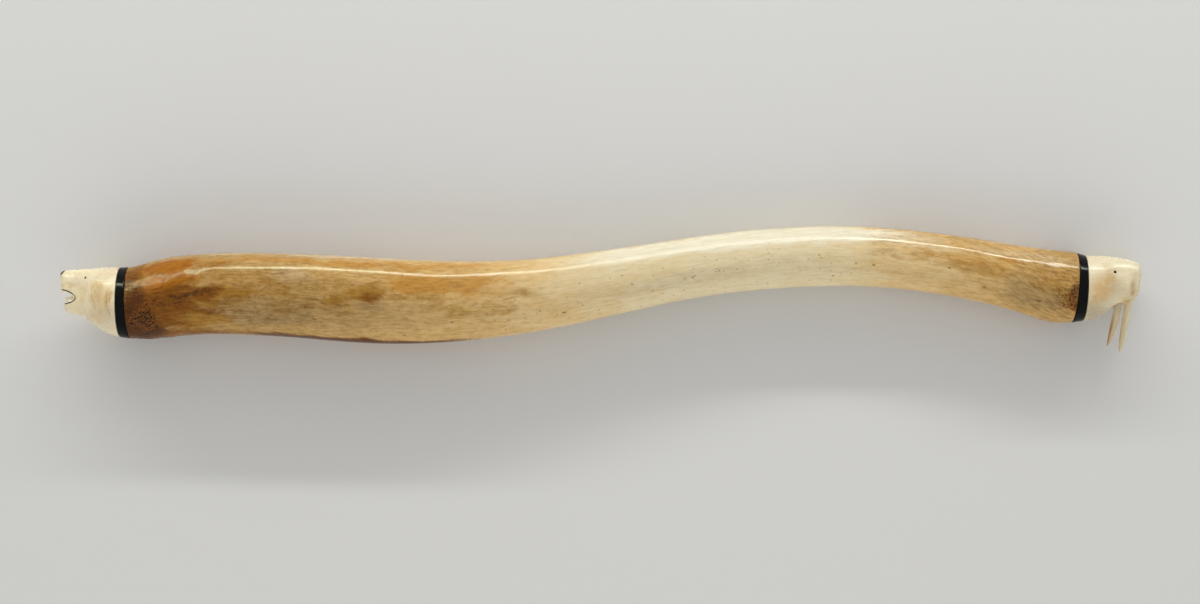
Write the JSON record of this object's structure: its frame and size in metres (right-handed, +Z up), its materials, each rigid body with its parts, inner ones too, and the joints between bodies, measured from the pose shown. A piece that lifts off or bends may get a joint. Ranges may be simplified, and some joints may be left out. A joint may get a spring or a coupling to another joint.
{
  "type": "carved oosik",
  "caption": "Polished, S-curved fossil walrus baculum lying on its flank, with an ivory bear head at the thick end and a tusked ivory walrus head at the thin end, joined by black collars.",
  "frame": {"origin": "on the table, under the middle of the bounding box, as the work lies on its hidden flank", "axes": "+X from the bear's nose to the walrus's muzzle, +Y towards both animals' backs, +Z up, out of the flank that shows"},
  "size_m": [0.6104, 0.0714, 0.042],
  "materials": {
    "fossil_bone": "fossil bone polished to a shine: dark brown at the thick end, cream in the middle, with fine dark pores along the grain",
    "ivory": "polished walrus ivory, cream with an orange-tan inner layer showing through",
    "tusk_ivory": "polished slivers of ivory, a little darker and browner than the heads",
    "baleen": "black baleen with a low shine"
  },
  "bodies": {
    "root": {"oosik_bone": "fossil_bone", "bear_head": "ivory", "walrus_head": "ivory", "walrus_tusk_near": "tusk_ivory", "walrus_tusk_far": "tusk_ivory", "bear_collar": "baleen", "walrus_collar": "baleen", "bear_nose": "baleen", "bear_eye_near": "baleen", "bear_eye_far": "baleen", "walrus_eye_near": "baleen", "walrus_eye_far": "baleen"}
  },
  "joints": []
}
